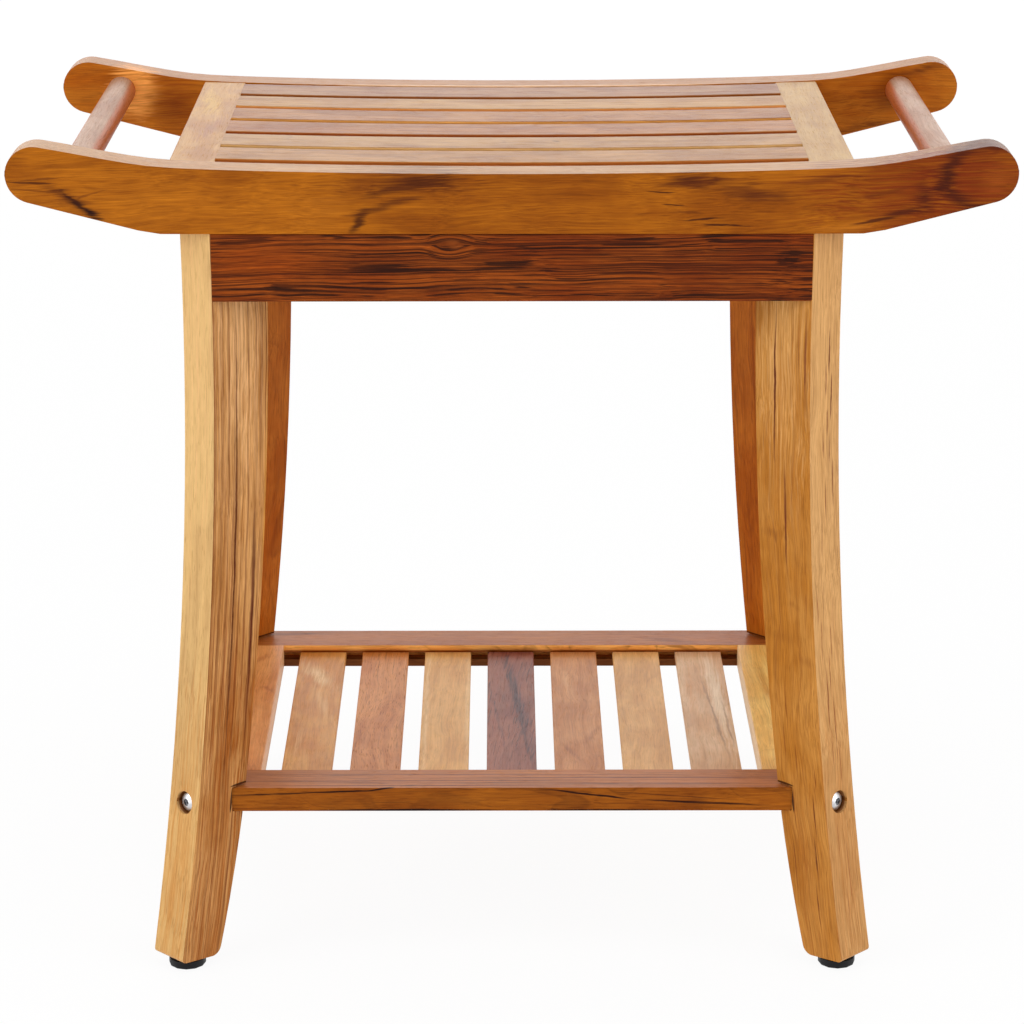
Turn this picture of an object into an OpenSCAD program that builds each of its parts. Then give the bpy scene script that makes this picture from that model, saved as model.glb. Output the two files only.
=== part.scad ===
// Teak shower bench: a slatted seat with two handle bars on four sabre legs, with a slatted shelf.
// Origin on the floor under the middle of the bench. X runs along the bench, Y to the back, Z up.

/* [Seat] */
// Overall length of the long seat rails
seat_l = 580; // [560:1:620]
// Overall depth of the seat
seat_w = 303; // [290:1:330]
// Height of the middle of the seat above the floor
seat_z = 489.3; // [470:0.1:510]
// Height of the seat rails and end battens at the middle of the bench
rail_h = 35; // [32:0.5:40]
// Thickness of the long seat rails
rail_t = 23; // [20:0.5:26]
// How far the seat dips over the length between the end battens
seat_dip = 3.3; // [2:0.1:5]
// Distance from the end of a rail to the end batten
hand_room = 91.7; // [84:0.1:100]
// Width of an end batten
batten_w = 26.4; // [24:0.2:30]
// Number of seat slats
slats = 6; // [5:1:7]
// Gap between seat slats
slat_gap = 7; // [5:0.5:9]
// Thickness of a seat slat
slat_t = 16; // [14:0.5:18]
// How far the slats stand above the rails and end battens
slat_proud = 0.7; // [0:0.1:1.5]
// Thickness of the tongue at the end of a slat
tongue_t = 8; // [6:0.5:9]
// Length of the tongue at the end of a slat
tongue_l = 9; // [6:0.5:12]

/* [Upswept rail ends] */
// Radius of the round end of a rail
end_r = 16.5; // [14:0.5:18]
// Height of the end's centre above the underside of the rail
end_z = 34.4; // [32:0.2:38]
// Slope of the rail's top towards its end
top_slope = 11; // [9:0.5:13]
// Slope of the rail's underside towards its end
under_slope = 14.5; // [12:0.5:17]

/* [Handle bars] */
// Diameter of a handle bar
bar_d = 18.2; // [14:0.1:20]
// Distance of a handle bar from the end of the rails
bar_in = 37.6; // [32:0.1:44]
// Height of a handle bar's axis above the underside of the rail
bar_z = 32.4; // [28:0.2:36]
// Depth of a handle bar's socket in the rail
bar_socket = 12; // [8:0.5:16]

/* [Aprons] */
// Set-back of the side aprons from the outside of the end battens
side_apron_in = 6.1; // [2:0.1:10]
// Set-back of the front and back aprons from the face of the seat rail
apron_in = 2; // [0:0.5:6]
// Height of an apron
apron_h = 40.3; // [36:0.1:50]
// Thickness of an apron
apron_t = 18; // [15:0.5:20]
// Thickness of an inner corner block
block_t = 20; // [16:0.5:24]
// Height of an inner corner block
block_h = 30; // [24:0.5:34]

/* [Legs] */
// Thickness of a leg
leg_t = 26.4; // [24:0.2:30]
// Width of a leg at its top
leg_w = 42.7; // [38:0.1:48]
// Radius of the curve of a leg's outer edge
leg_out_r = 2087; // [1900:1:2300]
// Height at which the outer edge stands upright
leg_out_z = 400; // [380:1:420]
// Radius of the curve of a leg's inner edge above the shelf
leg_in_r = 1928; // [1800:1:2100]
// Height at which the inner edge stands upright
leg_in_z = 425.6; // [410:0.2:440]
// Radius of the curve of a leg's inner edge below the shelf
leg_foot_r = 940; // [900:1:1000]
// Height of a leg's bottom at its outer edge
leg_bottom_z = 7.9; // [7.7:0.1:12]
// Slope of a leg's bottom
leg_bottom_slope = 5.6; // [0:0.1:6]
// Depth of the notch that takes the shelf's corner
notch_depth = 10.1; // [9:0.1:14]
// Radius of the inner corners of the notch and of the shelf's corner in it
notch_r = 1.5; // [1:0.5:4]

/* [Shelf] */
// How far the shelf's front edge stands outside the middle of the legs' top edges
shelf_out_y = 4.3; // [3:0.1:6]
// How far the shelf's side edge stands outside the middle of the legs' top edges
shelf_out_x = 0.8; // [0:0.1:3]
// Height of the shelf's top above the floor
shelf_z = 110; // [100:1:125]
// Thickness of the shelf's frame
shelf_t = 15; // [13:0.5:18]
// Width of a board of the shelf's frame
shelf_rail_w = 30; // [26:0.5:34]
// Number of shelf slats
shelf_slats = 7; // [6:1:8]
// Width of a shelf slat
shelf_slat_w = 31; // [28:0.5:34]
// Thickness of a shelf slat
shelf_slat_t = 5; // [4:0.25:7]
// Depth of the groove that holds the shelf's slats
groove_depth = 9; // [6:0.5:12]
// Length of the tongue at the end of a shelf batten
shelf_tongue = 5; // [4:0.5:6]

/* [Fasteners] */
// Shank diameter of a shelf screw
screw_d = 6; // [5:0.5:7]
// Length of a shelf screw's shank
screw_l = 38; // [30:1:42]
// Slope of a shelf screw, with its head up
screw_slope = 5; // [0:0.5:8]
// Head diameter of a shelf screw
head_d = 10.5; // [9:0.5:12]
// Head height of a shelf screw
head_h = 3.3; // [2.5:0.1:4]
// Size across the flats of a shelf screw's socket
socket_af = 4; // [3:0.5:5]
// Diameter of the counterbore in the leg
bore_d = 14; // [13:0.5:15]
// Depth of the screw's head below the leg's edge
head_sink = 1.1; // [0.5:0.1:5]
// Diameter of a leg bolt
bolt_d = 8; // [6:0.5:10]
// Depth of a leg bolt in the leg
bolt_in = 30; // [24:1:34]
// Size across the flats of a leg bolt's nut
nut_af = 13; // [12:0.5:15]
// Height of a leg bolt's nut
nut_h = 6.5; // [5:0.5:8]
// Diameter of a leg bolt's washer
washer_d = 22; // [18:1:26]
// Thickness of a leg bolt's washer
washer_t = 1.6; // [1:0.1:2.5]
// Shank diameter of a seat screw
seat_screw_d = 4.5; // [4:0.5:5]
// Depth of a seat screw in the seat frame
seat_screw_in = 20; // [15:1:22]
// Head diameter of a seat screw
seat_head_d = 9; // [8:0.5:9.5]
// Depth of a seat screw's counterbore in the apron
seat_bore = 22; // [16:1:28]
// Diameter of a wooden dowel
dowel_d = 8; // [6:0.5:10]
// Length of a wooden dowel
dowel_l = 30; // [24:1:36]

/* [Feet] */
// Diameter of a foot's pad
pad_d = 22.5; // [20:0.5:26]
// Thickness of a foot's pad
pad_t = 4.8; // [4:0.1:5]
// Diameter of the foot's threaded stud
stud_d = 8; // [6:0.5:10]
// How far a foot screws out of the leg
foot_travel = 8; // [4:1:10]
// Outer diameter of the threaded insert in the leg
insert_d = 12; // [11:0.5:14]
// Length of the threaded insert
insert_l = 16; // [12:1:18]

/* [Hidden] */
corner_names = ["front_left", "front_right", "back_left", "back_right"];
$fn = 72;
big_fn = 1440;        // segments of the long, nearly straight curves
over = 1;             // how far a cut runs past the face that it starts from
fit = 0.1;            // clearance around a piece in its hole, groove or socket
joint_gap = 0.8;      // clearance over and behind the shelf's corner, which stands on its notch's floor
thread_gap = 0.15;    // clearance between a foot's stud and its insert
drill_gap = 1;        // clearance of a plain drilled hole
root2 = sqrt(2);

// Seat
under_z = seat_z - rail_h;
batten_span = seat_l - 2 * hand_room;
dish_r = 1000;        // the dish is the lowest part of a flattened cylinder of this radius
dish_flat = seat_dip / (dish_r - sqrt(pow(dish_r, 2) - pow(batten_span / 2, 2)));
inner_w = seat_w - 2 * rail_t;
slat_w = (inner_w - (slats + 1) * slat_gap) / slats;
slat_span = batten_span - 2 * batten_w;
slat_z = seat_z + slat_proud - slat_t;
tongue_z = slat_z + (slat_t - tongue_t) / 2;
end_x = seat_l / 2 - end_r;
bar_x = seat_l / 2 - bar_in;
dowel_x = batten_span / 2 - 1.25 * dowel_d;
dowel_low = dowel_d;
dowel_high = rail_h - 1.5 * dowel_d;

// Each leg lies in the upright plane of its corner's diagonal. There u runs outwards from the top's outer edge.
edge_in = leg_t / (2 * root2);
frame_w = seat_w - 2 * apron_in;
frame_l = batten_span - 2 * side_apron_in;
corner_x = frame_l / 2 - edge_in;
corner_y = frame_w / 2 - edge_in;
function out_u(z) = leg_out_r - sqrt(pow(leg_out_r, 2) - pow(leg_out_z - z, 2));
function in_u(z) = leg_in_r - leg_w - sqrt(pow(leg_in_r, 2) - pow(leg_in_z - z, 2));
function foot_in_u(z) = foot_c - sqrt(pow(leg_foot_r, 2) - pow(foot_z - z, 2));
shelf_mid = shelf_z - shelf_t / 2;
notch_low = shelf_z - shelf_t - fit;
notch_high = shelf_z + joint_gap;
notch_u = in_u(shelf_mid) + notch_depth;
foot_lean = 10.9;     // angle of the inner edge to the upright, just below the notch
foot_z = notch_low + leg_foot_r * sin(foot_lean);
foot_c = in_u(notch_low) + leg_foot_r * cos(foot_lean);
bottom_u = out_u(leg_bottom_z);
foot_u = (bottom_u + foot_in_u(leg_bottom_z)) / 2;

// Aprons, corner blocks and their fasteners
apron_z = under_z - apron_h;
bolt_z = under_z - apron_h / 2;
block_u = -leg_w - block_t;
seat_screw_l = apron_h - seat_bore + seat_screw_in;

// Shelf
shelf_w = 2 * (corner_y + shelf_out_y);
shelf_l = 2 * (corner_x + shelf_out_x);
shelf_inner_l = shelf_l - 2 * shelf_rail_w;
shelf_inner_w = shelf_w - 2 * shelf_rail_w;
shelf_gap = (shelf_inner_l - shelf_slats * shelf_slat_w) / (shelf_slats + 1);
groove_z = shelf_mid - shelf_slat_t / 2;
screw_way = [cos(screw_slope), sin(screw_slope)];
to_arc = [leg_out_r - notch_u, leg_out_z - shelf_mid];
arc_reach = to_arc * screw_way;
leg_edge = arc_reach - sqrt(arc_reach * arc_reach - to_arc * to_arc + leg_out_r * leg_out_r);
head_floor = leg_edge - head_sink - head_h;
head_edge = 1.7;      // height of a shelf screw's head at its rim
socket_depth = 2;
pad_chamfer = 1.2;
insert_z = leg_bottom_z - fit;
stud_l = insert_z - pad_t + insert_l + foot_travel;

// Turns a front piece to the back, or a left one to the right
module flip_y(back) { if (back) mirror([0, 1, 0]) children(); else children(); }
module flip_x(right) { if (right) mirror([1, 0, 0]) children(); else children(); }
module at_corner(c) { flip_y(c >= 2) flip_x(c % 2 == 1) children(); }
module all_corners() { for (c = [0 : 3]) at_corner(c) children(); }

// Stands a shape drawn in (u, z), with its thickness across the leg, in the front left corner
module in_leg_plane() {
    translate([-corner_x, -corner_y, 0]) rotate([90, 0, 225]) children();
}

// Points a shape's Z axis outwards along the diagonal, from u at height z
module along_leg(u, z) {
    in_leg_plane() translate([u, z, 0]) rotate([0, 90, 0]) children();
}

// Points a shape's Z axis out along a shelf screw, from d beyond the end of the notch
module along_screw(d) {
    in_leg_plane() translate([notch_u, shelf_mid, 0]) rotate([0, 0, screw_slope])
        translate([d, 0, 0]) rotate([0, 90, 0]) children();
}

// ---- seat ----

// Side view of the flattened circle that lies in the seat's dished top
module dish_circle() {
    translate([0, seat_z + dish_r * dish_flat]) scale([1, dish_flat]) circle(r = dish_r, $fn = big_fn);
}

// Everything above the seat's dished top
module above_dish() {
    translate([0, seat_w, 0]) rotate([90, 0, 0]) linear_extrude(2 * seat_w) dish_circle();
}

// Side view of one half of a rail, up to the level of the middle of the seat and to its upswept end
module rail_half() {
    centre = [end_x, under_z + end_z];
    top = centre + end_r * [-sin(top_slope), cos(top_slope)];
    low = centre + end_r * [sin(under_slope), -cos(under_slope)];
    top_start = top[0] - (top[1] - seat_z) / tan(top_slope);
    low_start = low[0] - (low[1] - under_z) / tan(under_slope);
    translate(centre) circle(r = end_r);
    polygon([
        [-over, under_z], [low_start, under_z], low, centre, top, [top_start, seat_z], [-over, seat_z]
    ]);
}

// Side view of the dished part of a rail's top
module rail_dish() {
    difference() {
        translate([-end_x, seat_z - over]) square([2 * end_x, seat_dip + 2 * over]);
        dish_circle();
    }
}

module rail(back) {
    color(back ? "burlywood" : "peru") flip_y(back) difference() {
        translate([0, rail_t - seat_w / 2, 0]) rotate([90, 0, 0]) linear_extrude(rail_t) {
            rail_half();
            mirror([1, 0]) rail_half();
            rail_dish();
        }
        handle_bar(false, fit);
        handle_bar(true, fit);
        dowel_set(fit);
        seat_screw_shanks(fit);
    }
}

module end_batten(right) {
    color(right ? "khaki" : "burlywood") flip_x(right) difference() {
        translate([-batten_span / 2, -inner_w / 2, under_z]) cube([batten_w, inner_w, 2 * rail_h]);
        above_dish();
        translate([-slat_span / 2 - tongue_l - fit, -inner_w / 2 - over, tongue_z])
            cube([tongue_l + fit + over, inner_w + 2 * over, tongue_t + fit]);
        dowel_set(fit);
        seat_screw_shanks(fit);
    }
}

// Two wooden pins, one above the other, join each end of a batten to a rail
module dowel_set(gap = 0) {
    all_corners() for (z = [dowel_low, dowel_high])
        translate([-dowel_x, (dowel_l - inner_w) / 2 + gap, under_z + z]) rotate([90, 0, 0])
            cylinder(h = dowel_l + 2 * gap, d = dowel_d + 2 * gap);
}

module seat_slat(i) {
    y = inner_w / 2 - i * (slat_w + slat_gap);
    color(["tan", "peru", "burlywood", "sandybrown"][i % 4]) difference() {
        union() {
            translate([-slat_span / 2, y, slat_z]) cube([slat_span, slat_w, 2 * slat_t]);
            translate([-slat_span / 2 - tongue_l, y, tongue_z])
                cube([slat_span + 2 * tongue_l, slat_w, tongue_t]);
        }
        translate([0, 0, slat_proud]) above_dish();
    }
}

module handle_bar(right, gap = 0) {
    half = inner_w / 2 + bar_socket + gap;
    color("rosybrown") flip_x(right) translate([-bar_x, half, under_z + bar_z]) rotate([90, 0, 0])
        cylinder(h = 2 * half, d = bar_d + 2 * gap);
}

// ---- aprons ----

// The boards that the four legs are cut from, as long as the diagonal
module leg_boards() {
    all_corners() in_leg_plane() translate([-frame_w / 2, 0, -leg_t / 2])
        cube([frame_w, under_z + over, leg_t]);
}

// An apron's ends are mitred to lie flat against the broad faces of the legs
module apron_cuts() {
    leg_boards();
    seat_screw_shanks(fit);
    seat_screw_spots() translate([0, 0, apron_z - over])
        cylinder(h = seat_bore + over, d = seat_head_d + drill_gap);
}

module long_apron(back) {
    length = frame_l - root2 * leg_t;
    color("sienna") flip_y(back) difference() {
        translate([-length / 2, -frame_w / 2, apron_z]) cube([length, apron_t, apron_h]);
        apron_cuts();
    }
}

module side_apron(right) {
    length = frame_w - root2 * leg_t;
    color("peru") flip_x(right) difference() {
        translate([-frame_l / 2, -length / 2, apron_z]) cube([apron_t, length, apron_h]);
        apron_cuts();
    }
}

// Where the screws go up through the aprons into the seat frame
module seat_screw_spots() {
    for (s = [-1, 1]) {
        for (y = [-1, 1]) translate([s * frame_l / 4, y * (frame_w - apron_t) / 2, 0]) children();
        for (x = [-1, 1]) translate([x * (frame_l - apron_t) / 2, s * frame_w / 5, 0]) children();
    }
}

module seat_screw_shanks(gap = 0) {
    seat_screw_spots() translate([0, 0, apron_z + seat_bore - gap])
        cylinder(h = seat_screw_l + 2 * gap, d = seat_screw_d + 2 * gap);
}

module seat_screws() {
    color("silver") {
        seat_screw_shanks();
        seat_screw_spots() translate([0, 0, apron_z + seat_bore - seat_head_d / 3])
            cylinder(h = seat_head_d / 3, d = seat_head_d);
    }
}

module corner_block(c) {
    inner = [frame_l / 2 - apron_t, frame_w / 2 - apron_t];
    color("burlywood") at_corner(c) difference() {
        translate([0, 0, bolt_z - block_h / 2]) linear_extrude(block_h) intersection() {
            translate([-corner_x, -corner_y]) rotate(225) translate([block_u, -frame_w / 2])
                square([block_t, frame_w]);
            translate(-inner) square(inner);
        }
        along_leg(block_u - over, bolt_z) cylinder(h = block_t + 2 * over, d = bolt_d + drill_gap);
    }
}

// ---- legs ----

// Side view of the notch that takes the shelf's corner, or of the corner that stands in it
module notch_profile(corner = false) {
    low = notch_low + (corner ? fit : 0);
    high = notch_high - (corner ? joint_gap : 0);
    end = notch_u - (corner ? joint_gap : 0);
    translate([-leg_w, low]) square([leg_w + end - notch_r, high - low]);
    translate([-leg_w, low + notch_r]) square([leg_w + end, high - low - 2 * notch_r]);
    for (z = [low + notch_r, high - notch_r]) translate([end - notch_r, z]) circle(r = notch_r);
}

// Side view of a leg on its diagonal
module leg_outline() {
    difference() {
        union() {
            intersection() {
                translate([-leg_w - over, notch_low]) square([2 * leg_w, under_z - notch_low]);
                translate([leg_in_r - leg_w, leg_in_z]) circle(r = leg_in_r, $fn = big_fn);
            }
            intersection() {
                translate([-leg_w, 0]) square([3 * leg_w, notch_low]);
                translate([foot_c, foot_z]) circle(r = leg_foot_r, $fn = big_fn);
            }
        }
        translate([leg_out_r, leg_out_z]) circle(r = leg_out_r, $fn = big_fn);
        translate([bottom_u, leg_bottom_z]) rotate(leg_bottom_slope)
            translate([-2 * leg_w, -leg_w]) square([3 * leg_w, leg_w]);
        notch_profile();
    }
}

module leg(c) {
    color(["tan", "goldenrod", "peru", "peru"][c]) at_corner(c) difference() {
        in_leg_plane() translate([0, 0, -leg_t / 2]) linear_extrude(leg_t) leg_outline();
        along_leg(-leg_w - over, bolt_z) cylinder(h = bolt_in + over + fit, d = bolt_d + 2 * fit);
        along_screw(-over) cylinder(h = leg_w, d = screw_d + 2 * fit);
        along_screw(head_floor) cylinder(h = leg_w, d = bore_d);
        at_foot() {
            cylinder(h = insert_z + insert_l + fit, d = insert_d + 2 * fit);
            cylinder(h = pad_t + stud_l + over, d = stud_d + drill_gap);
        }
    }
}

module leg_bolts() {
    color("silver") all_corners() along_leg(block_u - washer_t - nut_h - bolt_d / 2, bolt_z)
        cylinder(h = bolt_d / 2 + nut_h + washer_t + block_t + bolt_in, d = bolt_d);
}

module leg_washers() {
    color("silver") all_corners() along_leg(block_u - washer_t, bolt_z) difference() {
        cylinder(h = washer_t, d = washer_d);
        translate([0, 0, -over]) cylinder(h = washer_t + 2 * over, d = bolt_d + 4 * fit);
    }
}

module leg_nuts() {
    color("gray") all_corners() along_leg(block_u - washer_t - nut_h, bolt_z) difference() {
        cylinder(h = nut_h, d = nut_af / cos(30), $fn = 6);
        translate([0, 0, -over]) cylinder(h = nut_h + 2 * over, d = bolt_d + 2 * fit);
    }
}

// ---- shelf ----

module shelf_rail(back) {
    color("peru") flip_y(back) difference() {
        translate([-shelf_l / 2, -shelf_w / 2, shelf_z - shelf_t]) cube([shelf_l, shelf_rail_w, shelf_t]);
        translate([-shelf_l, -shelf_inner_w / 2 - groove_depth, groove_z])
            cube([2 * shelf_l, groove_depth + over, shelf_slat_t + fit]);
        for (right = [false, true]) flip_x(right) {
            in_leg_plane() translate([0, 0, -shelf_rail_w]) linear_extrude(2 * shelf_rail_w) difference() {
                translate([notch_u - 2 * notch_r, 0]) square([shelf_rail_w, 2 * shelf_z]);
                notch_profile(true);
            }
            along_screw(head_floor - screw_l - fit) cylinder(h = screw_l, d = screw_d + 2 * fit);
        }
    }
}

module shelf_batten(right) {
    color("burlywood") flip_x(right) translate([-shelf_l / 2, 0, 0]) {
        translate([0, -shelf_inner_w / 2, shelf_z - shelf_t]) cube([shelf_rail_w, shelf_inner_w, shelf_t]);
        translate([0, -shelf_inner_w / 2 - shelf_tongue, groove_z])
            cube([shelf_rail_w, shelf_inner_w + 2 * shelf_tongue, shelf_slat_t]);
    }
}

module shelf_slat(i) {
    length = shelf_inner_w + 2 * (groove_depth - fit);
    x = shelf_gap - shelf_inner_l / 2 + (i - 1) * (shelf_slat_w + shelf_gap);
    color(["peru", "tan", "burlywood", "rosybrown"][i % 4])
        translate([x, -length / 2, groove_z]) cube([shelf_slat_w, length, shelf_slat_t]);
}

module shelf_screws() {
    dome_drop = head_h - head_edge;
    dome_r = (pow(head_d / 2, 2) + pow(dome_drop, 2)) / (2 * dome_drop);
    color("silver") all_corners() along_screw(head_floor) {
        translate([0, 0, -screw_l]) cylinder(h = screw_l, d = screw_d);
        difference() {
            intersection() {
                cylinder(h = head_h, d = head_d);
                translate([0, 0, head_h - dome_r]) sphere(r = dome_r);
            }
            translate([0, 0, head_h - socket_depth])
                cylinder(h = socket_depth + over, d = socket_af / cos(30), $fn = 6);
        }
    }
}

// ---- feet ----

module at_foot() {
    translate([-corner_x - foot_u / root2, -corner_y - foot_u / root2, 0]) children();
}

module foot_inserts() {
    color("gold") all_corners() at_foot() translate([0, 0, insert_z]) difference() {
        cylinder(h = insert_l, d = insert_d);
        translate([0, 0, -over]) cylinder(h = insert_l + 2 * over, d = stud_d + 2 * thread_gap);
    }
}

// The stud turns in its insert, and its flat end turns in the pad
module foot_stud(c) {
    color("gray") at_corner(c) at_foot() translate([0, 0, pad_t / 2]) {
        cylinder(h = pad_t / 2 + stud_l, d = stud_d);
        cylinder(h = pad_t / 4, d = 1.5 * stud_d);
    }
}

module foot_pad(c) {
    color("black") at_corner(c) at_foot() difference() {
        rotate_extrude() polygon([
            [0, 0], [pad_d / 2 - pad_chamfer, 0], [pad_d / 2, pad_chamfer], [pad_d / 2, pad_t], [0, pad_t]
        ]);
        translate([0, 0, pad_t / 2 - thread_gap]) {
            cylinder(h = pad_t, d = stud_d + 2 * thread_gap);
            cylinder(h = pad_t / 4 + 2 * thread_gap, d = 1.5 * stud_d + 2 * thread_gap);
        }
    }
}

rail(false);  // front_rail
rail(true);  // back_rail
end_batten(false);  // left_end_batten
end_batten(true);  // right_end_batten
color("tan") dowel_set();  // batten_dowels
for (i = [1 : slats]) seat_slat(i);
handle_bar(false);  // left_handle_bar
handle_bar(true);  // right_handle_bar
long_apron(false);  // front_apron
long_apron(true);  // back_apron
side_apron(false);  // left_apron
side_apron(true);  // right_apron
seat_screws();
for (c = [0 : 3]) leg(c);
for (c = [0 : 3]) corner_block(c);
leg_bolts();
leg_washers();
leg_nuts();
shelf_rail(false);  // shelf_front_rail
shelf_rail(true);  // shelf_back_rail
shelf_batten(false);  // shelf_left_batten
shelf_batten(true);  // shelf_right_batten
for (i = [1 : shelf_slats]) shelf_slat(i);
shelf_screws();
foot_inserts();
for (c = [0 : 3]) foot_stud(c);
for (c = [0 : 3]) foot_pad(c);
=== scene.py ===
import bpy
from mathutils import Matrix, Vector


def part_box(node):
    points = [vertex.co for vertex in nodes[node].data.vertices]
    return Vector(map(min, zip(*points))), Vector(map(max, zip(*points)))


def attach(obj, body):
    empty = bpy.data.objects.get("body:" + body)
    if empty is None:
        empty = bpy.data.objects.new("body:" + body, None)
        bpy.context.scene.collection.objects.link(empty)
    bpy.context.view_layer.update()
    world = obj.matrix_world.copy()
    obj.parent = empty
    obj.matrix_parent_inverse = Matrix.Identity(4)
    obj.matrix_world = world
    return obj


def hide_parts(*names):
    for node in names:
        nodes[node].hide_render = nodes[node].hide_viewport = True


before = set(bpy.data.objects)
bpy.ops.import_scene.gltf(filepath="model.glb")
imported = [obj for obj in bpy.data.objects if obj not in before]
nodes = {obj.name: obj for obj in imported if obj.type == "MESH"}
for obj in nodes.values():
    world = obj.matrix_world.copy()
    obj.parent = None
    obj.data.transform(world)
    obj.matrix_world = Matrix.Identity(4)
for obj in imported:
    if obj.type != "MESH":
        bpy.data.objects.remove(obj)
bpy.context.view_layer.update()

import math

import bmesh
import bpy
from mathutils import Euler, Matrix, Vector

mm = 0.001
touch = 0.1 * mm           # what lies closer than this is in one place
level = 0.9                # a face is level when its normal's z is over this, or under less than this
sharpTurn = 0.6            # edges between faces that turn by more than this, in radians, can be rounded
welds = {"cad": 0.002, "thread": 0.01, "piece": 0.004}       # points closer than this, in mm, become one
corners = {"front_left": (-1, -1), "front_right": (1, -1), "back_left": (-1, 1), "back_right": (1, 1)}
up = (0, 0, 1)
front = (0, -1, 0)


def camel(node):
    # front_left as frontLeft
    first, *others = node.split("_")
    return first + "".join(word.capitalize() for word in others)


class Wire:
    # one output of a node, which can be used in sums
    def __init__(self, socket):
        self.socket = socket

    def node(self, kind, settings=None, inputs=None, output=0):
        made = self.socket.id_data.nodes.new(kind)
        for key, value in (settings or {}).items():
            if key == "stops":
                while len(made.color_ramp.elements) < len(value):
                    made.color_ramp.elements.new(1)
                for element, (place, grey) in zip(made.color_ramp.elements, value):
                    element.position = place
                    element.color = (grey, grey, grey, 1)
            else:
                setattr(made, key, value)
        for key, value in (inputs or {}).items():
            if isinstance(value, Wire):
                self.socket.id_data.links.new(value.socket, made.inputs[key])
            else:
                made.inputs[key].default_value = value
        return Wire(made.outputs[output])

    def sum(self, operation, a, b=0.0):
        return self.node("ShaderNodeMath", {"operation": operation}, {0: a, 1: b})

    def __add__(self, other):
        return self.sum("ADD", self, other)

    def __sub__(self, other):
        return self.sum("SUBTRACT", self, other)

    def __rsub__(self, other):
        return self.sum("SUBTRACT", other, self)

    def __mul__(self, other):
        return self.sum("MULTIPLY", self, other)

    def __truediv__(self, other):
        return self.sum("DIVIDE", self, other)

    def __pow__(self, other):
        return self.sum("POWER", self, other)

    __radd__ = __add__
    __rmul__ = __mul__

    def vectorSum(self, operation, *inputs, output=0):
        return self.node("ShaderNodeVectorMath", {"operation": operation}, dict(enumerate(inputs)),
                         output)

    def stretched(self, x, y, z):
        return self.vectorSum("MULTIPLY", self, (x, y, z))

    def noise(self, detail=2.0, rough=0.5, output=0):
        return self.node("ShaderNodeTexNoise", None, {"Vector": self, "Scale": 1.0, "Detail": detail,
                                                      "Roughness": rough}, output)

    def between(self, low, high):
        # 0 under low, 1 over high, and smooth between them
        return self.node("ShaderNodeMapRange", {"interpolation_type": "SMOOTHSTEP"},
                         {0: self, 1: low, 2: high, 3: 0.0, 4: 1.0})

    def blend(self, other, share):
        return self.node("ShaderNodeMix", {"data_type": "RGBA"}, {0: share, 6: self, 7: other}, 2)

    def bump(self, strength, depth):
        # depth in mm
        return self.node("ShaderNodeBump", None,
                         {"Height": self, "Strength": strength, "Distance": depth * mm})


def tone(red, green, blue):
    # a screen colour, 0 to 255, as Blender's linear one
    parts = [v / 255 for v in (red, green, blue)]
    return tuple(v / 12.92 if v < 0.04 else ((v + 0.055) / 1.055) ** 2.4 for v in parts) + (1.0,)


def newMaterial(name, settings):
    material = bpy.data.materials.new(name)
    material.use_nodes = True
    tree = material.node_tree
    surface = tree.nodes["Principled BSDF"]
    for key, value in settings.items():
        surface.inputs[key].default_value = value
    place = Wire(tree.nodes.new("ShaderNodeTexCoord").outputs["Object"])
    return material, surface, place


def plug(wire, socket):
    wire.socket.id_data.links.new(wire.socket, socket)


def spot(place, centre, reach, turn=(0, 0, 0)):
    # 1 in the middle of a patch of the piece, 0 at its rim and less beyond
    # centre and reach in mm, turn in degrees
    patch = place.node("ShaderNodeMapping", {"vector_type": "TEXTURE"}, {
        "Vector": place, "Location": [c * mm for c in centre], "Rotation": [math.radians(a) for a in turn],
        "Scale": [r * mm for r in reach]})
    return 1 - patch.vectorSum("LENGTH", patch, output=1)


grainTurns = {"x": (0, 0, 0), "y": (0, 0, -90), "z": (0, 90, 0)}     # each lays that way of the grain along X
softRings = [(0.0, 0.1), (0.06, 1.0), (0.22, 0.3), (0.8, 0.0), (1.0, 0.1)]      # dark part of a growth ring
wideRings = [(0.0, 0.2), (0.1, 1.0), (0.34, 0.55), (0.6, 0.0), (0.86, 0.0), (1.0, 0.2)]

woodNoises = {
    # waves in a mm along the grain, and across it, then detail and roughness
    "wave": (0.011, 0.02, 2, 0.5),
    "ringShow": (0.006, 0.1, 2, 0.5),
    "fine": (0.03, 1.5, 2, 0.6),
    "streak": (0.009, 0.55, 4, 0.62),
    "thread": (0.007, 1.1, 2, 0.5),
    "wideThread": (0.007, 0.75, 2, 0.5),
    "band": (0.006, 0.13, 3, 0.55),
    "cloud": (0.02, 0.035, 3, 0.55),
    "pore": (0.09, 1.9, 1, 0.5),
    "mottle": (0.1, 0.25, 3, 0.6),
    "rag": (0.04, 0.25, 3, 0.65),
}

woodCuts = {
    # from where a noise begins to show to where it shows in full
    "pale": (0.38, 0.62),
    "vein": (0.56, 0.66),
    "veinBand": (0.45, 0.6),
    "pore": (0.6, 0.68),
    "worn": (0.35, 0.6),
    "facing": (0.6, 0.85),
}

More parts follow.
